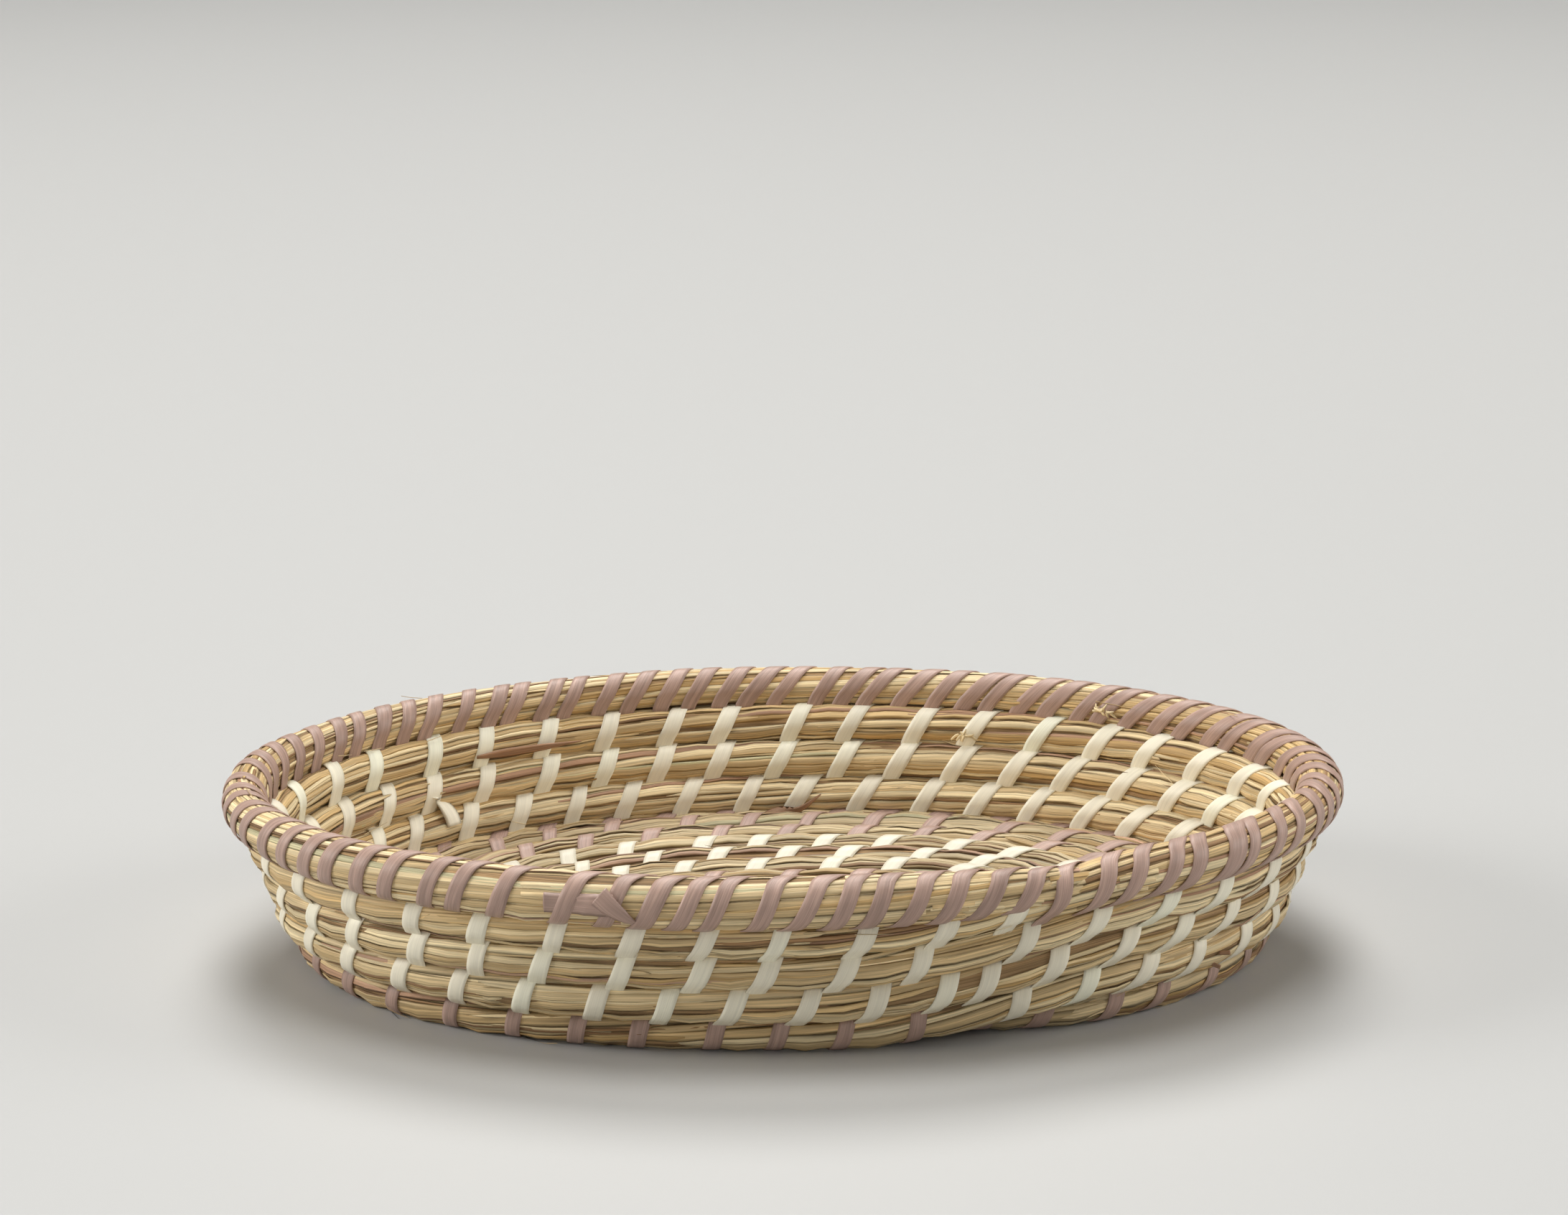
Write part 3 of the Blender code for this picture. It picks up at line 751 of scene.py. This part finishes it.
def streaks(tree, scales, detail):
    """Noise drawn out along the fibres."""
    uv = node(tree, "ShaderNodeUVMap", uv_map="length_and_width")
    stretch = node(tree, "ShaderNodeMapping")
    stretch.inputs["Scale"].default_value = (*scales, 1)
    noise = node(tree, "ShaderNodeTexNoise", noise_dimensions="2D")
    noise.inputs["Scale"].default_value = 1
    noise.inputs["Detail"].default_value = detail
    tree.links.new(uv.outputs["UV"], stretch.inputs["Vector"])
    tree.links.new(stretch.outputs["Vector"], noise.inputs["Vector"])
    return noise


def fibre_material(name, fine, coarse, dark, light, roughness, bump, specular=0.35, sheen=0.0):
    made, tree, shader = new_material(name)
    colour = node(tree, "ShaderNodeVertexColor", layer_name="stem_colour")
    thin = streaks(tree, fine, 3)
    broad = streaks(tree, coarse, 2)
    ramp = node(tree, "ShaderNodeMapRange")
    ramp.inputs["From Min"].default_value = 0.32
    ramp.inputs["From Max"].default_value = 0.68
    ramp.inputs["To Min"].default_value = dark
    ramp.inputs["To Max"].default_value = light
    tree.links.new(thin.outputs["Fac"], ramp.inputs["Value"])
    second = node(tree, "ShaderNodeMapRange")
    second.inputs["From Min"].default_value = 0.3
    second.inputs["From Max"].default_value = 0.7
    second.inputs["To Min"].default_value = dark
    second.inputs["To Max"].default_value = light
    tree.links.new(broad.outputs["Fac"], second.inputs["Value"])
    both = node(tree, "ShaderNodeMath", operation="MULTIPLY")
    tree.links.new(ramp.outputs["Result"], both.inputs[0])
    tree.links.new(second.outputs["Result"], both.inputs[1])
    tinted = node(tree, "ShaderNodeVectorMath", operation="SCALE")
    tree.links.new(colour.outputs["Color"], tinted.inputs[0])
    tree.links.new(both.outputs["Value"], tinted.inputs["Scale"])
    tree.links.new(tinted.outputs["Vector"], shader.inputs["Base Color"])
    rise = node(tree, "ShaderNodeBump")
    rise.inputs["Strength"].default_value = 0.6
    rise.inputs["Distance"].default_value = bump
    tree.links.new(thin.outputs["Fac"], rise.inputs["Height"])
    tree.links.new(rise.outputs["Normal"], shader.inputs["Normal"])
    shader.inputs["Roughness"].default_value = roughness
    shader.inputs["Specular IOR Level"].default_value = specular
    return made


GRASS = fibre_material("grass", (30, 2300), (14, 700), 0.74, 1.16, 0.55, 0.0003)
CREAM = fibre_material("cream_palm", (40, 3200), (30, 600), 0.93, 1.01, 0.42, 0.00008)
MAUVE = fibre_material("mauve_palm", (60, 4200), (40, 700), 0.86, 1.12, 0.42, 0.00012)
INSIDE = fibre_material("bundle_shadow", (12, 2600), (8, 900), 0.6, 1.3, 0.8, 0.0004)

CREAM_COLOUR = screen(248, 240, 217)
# Painted shade: the cream strips of the basket's floor are drawn darker than those of the wall
FLOOR_CREAM_PAINTED_SHADE = 0.80
MAUVE_COLOUR = screen(178, 149, 135)


def finish_piece(piece, material, slot, *nodes):
    piece.data.materials.append(material)
    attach(piece, "root")
    if nodes:
        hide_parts(*nodes)
    return piece


def make_basket():
    finish_piece(make_core(), INSIDE, "dried_grass", "foundation_coil")
    # The floor's stems carry painted shade; those of the wall and rim have none
    stretches = (("floor_stems_inner", coil.first, FLOOR_SPLIT, FLOOR_STEMS_PAINTED_SHADE),
                 ("floor_stems_outer", FLOOR_SPLIT, FOOT, FLOOR_STEMS_PAINTED_SHADE),
                 ("wall_stems_lower", FOOT, WALL_SPLIT, 1),
                 ("wall_stems_upper", WALL_SPLIT, LAST - RAMP_SHARE, 1),
                 ("rim_stems", LAST - RAMP_SHARE, LAST + 1, 1))
    for name, start, end, shade in stretches:
        finish_piece(make_stems(name, start, end, shade), GRASS, "dried_grass", "foundation_coil")
    names = {
        12: ("rim_wraps", ("rim_binder_long", "rim_binder_short")),
        11: ("wall_stitches_upper", ("wall_binder_upper",)),
        10: ("wall_stitches_middle", ("wall_binder_middle",)),
        9: ("wall_stitches_lower", ("wall_binder_lower",)),
        8: ("foot_stitches", ()),
    }
    for level in range(7, 1, -1):
        number = FOOT - level
        names[level] = (f"floor_stitches_{number}", (f"floor_binder_{number}",))
    names[1] = ("floor_stitches_inner", ())
    finish_piece(make_splice_tail(), MAUVE, "mauve_strip", "rim_splice_tail")
    finish_piece(make_torn_strip(), CREAM, "cream_strip", "wall_binder_lower")
    finish_piece(make_loose_ends(), GRASS, "dried_grass", "foundation_coil")
    for level, (name, nodes) in names.items():
        mauve = level in MAUVE_LEVELS
        width = MAUVE_WIDTH if mauve else CREAM_WIDTH
        colour = MAUVE_COLOUR if mauve else CREAM_COLOUR
        # Painted shade on the cream strips of the floor
        if level < FOOT and not mauve:
            colour = tuple(part * FLOOR_CREAM_PAINTED_SHADE for part in colour)
        piece = make_stitches(name, level, width, colour)
        finish_piece(piece, MAUVE if mauve else CREAM, "mauve_strip" if mauve else "cream_strip", *nodes)


make_basket()

# Stage: floor, light and camera
FLOOR_SIZE = 8.0


def make_floor():
    mesh = bpy.data.meshes.new("floor")
    half = FLOOR_SIZE / 2
    mesh.from_pydata([(-half, -half, 0), (half, -half, 0), (half, half, 0), (-half, half, 0)], [], [(0, 1, 2, 3)])
    floor = bpy.data.objects.new("floor", mesh)
    bpy.context.scene.collection.objects.link(floor)
    made, tree, shader = new_material("pale_floor")
    shader.inputs["Base Color"].default_value = (*screen(184, 184, 182), 1)
    shader.inputs["Roughness"].default_value = 0.5
    floor.data.materials.append(made)


def add_lamp(name, place, size, energy):
    lamp = bpy.data.lights.new(name, "AREA")
    lamp.shape = "DISK"
    lamp.size = size
    lamp.energy = energy
    lamp.color = (1.0, 0.99, 0.975)
    made = bpy.data.objects.new(name, lamp)
    made.location = place
    made.rotation_euler = (Vector((0, 0, 0)) - made.location).to_track_quat("-Z", "Y").to_euler()
    bpy.context.scene.collection.objects.link(made)


def make_light():
    world = bpy.data.worlds.new("studio")
    bpy.context.scene.world = world
    world.use_nodes = True
    back = world.node_tree.nodes["Background"]
    back.inputs["Color"].default_value = (1.0, 1.0, 0.985, 1)
    back.inputs["Strength"].default_value = 0.06
    add_lamp("overhead", (0, 0, 5.0), 2.5, 125)
    add_lamp("behind", (0, 2.9, 4.1), 2.5, 162)
    add_lamp("left_window", (-4.5, 0, 2.1), 2.5, 155)
    add_lamp("right_window", (4.5, 0, 2.1), 2.5, 96)
    add_lamp("front_fill", (0, -4.5, 2.1), 2.5, 36)


IMAGE_WIDTH = 2184
FOCAL_PIXELS = 5600
CAMERA_PLACE = (-0.0508, -1.1853, 0.4025)
CAMERA_PITCH = 14.0
CAMERA_YAW = -2.46
CAMERA_ROLL = -0.28
SENSOR = 36.0


def make_camera():
    lens = bpy.data.cameras.new("camera")
    lens.sensor_width = SENSOR
    lens.lens = FOCAL_PIXELS / IMAGE_WIDTH * SENSOR
    camera = bpy.data.objects.new("camera", lens)
    camera.location = CAMERA_PLACE
    aim = Euler((math.radians(90 - CAMERA_PITCH), 0, math.radians(CAMERA_YAW))).to_matrix()
    camera.rotation_euler = (aim @ Matrix.Rotation(math.radians(CAMERA_ROLL), 3, "Z")).to_euler()
    bpy.context.scene.collection.objects.link(camera)
    bpy.context.scene.camera = camera


make_floor()
make_light()
make_camera()
bpy.context.scene.view_settings.view_transform = "Standard"
